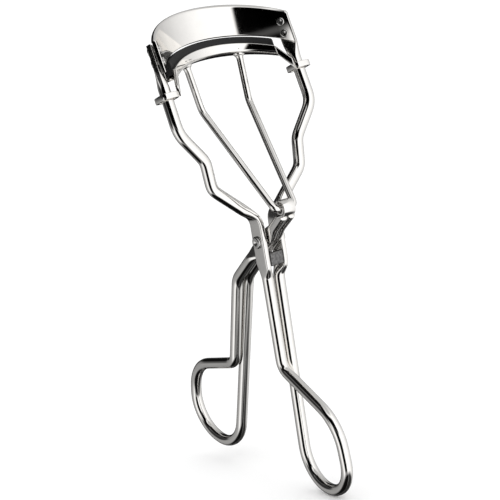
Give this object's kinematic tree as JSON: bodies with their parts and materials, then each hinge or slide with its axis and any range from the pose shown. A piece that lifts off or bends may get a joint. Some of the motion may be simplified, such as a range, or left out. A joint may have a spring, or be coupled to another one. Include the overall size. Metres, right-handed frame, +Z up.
{
  "type": "eyelash curler",
  "caption": "Wire-framed eyelash curler with an arched top plate, a sliding padded lower jaw and two finger loops, one of them the lever.",
  "frame": {"origin": "under the middle of the tool's box, at the height of the lowest point of the front finger loop", "axes": "+Z up the tool from the finger loops to the jaws; X across the jaws, parallel to both hinges; -Y towards the hollow side of the jaws and the fixed finger loop"},
  "size_m": [0.0378, 0.0608, 0.1055],
  "materials": {
    "polished_steel": "mirror-polished nickel plate",
    "rivet_steel": "satin rivet heads",
    "black_rubber": "matt black"
  },
  "bodies": {
    "frame": {"top_plate": "polished_steel", "frame_wire_left": "polished_steel", "frame_wire_right": "polished_steel", "front_finger_loop": "polished_steel", "eye_spacer": "polished_steel", "plate_rivet_left_lower": "rivet_steel", "plate_rivet_left_upper": "rivet_steel", "plate_rivet_right_lower": "rivet_steel", "plate_rivet_right_upper": "rivet_steel", "pivot_rivet": "rivet_steel"},
    "lever": {"rear_finger_lever": "polished_steel", "lever_barrel": "polished_steel"},
    "jaw": {"lower_jaw": "polished_steel", "rubber_pad": "black_rubber", "jaw_guide_left": "polished_steel", "jaw_guide_right": "polished_steel", "link_wire_left": "polished_steel", "link_wire_right": "polished_steel"}
  },
  "joints": [
    {"name": "lever_pivot", "type": "hinge", "parent": "frame", "child": "lever", "pos_m": [0, -0.01291, 0.05634], "axis": [1, 0, 0], "range_deg": [0, 30]},
    {"name": "jaw_link", "type": "hinge", "parent": "lever", "child": "jaw", "pos_m": [0, -0.02101, 0.06395], "axis": [1, 0, 0], "range_deg": [-33, 0]}
  ],
  "couplings": [
    {"joint": "jaw_link", "follows": "lever_pivot", "ratio": -1.0885}
  ]
}
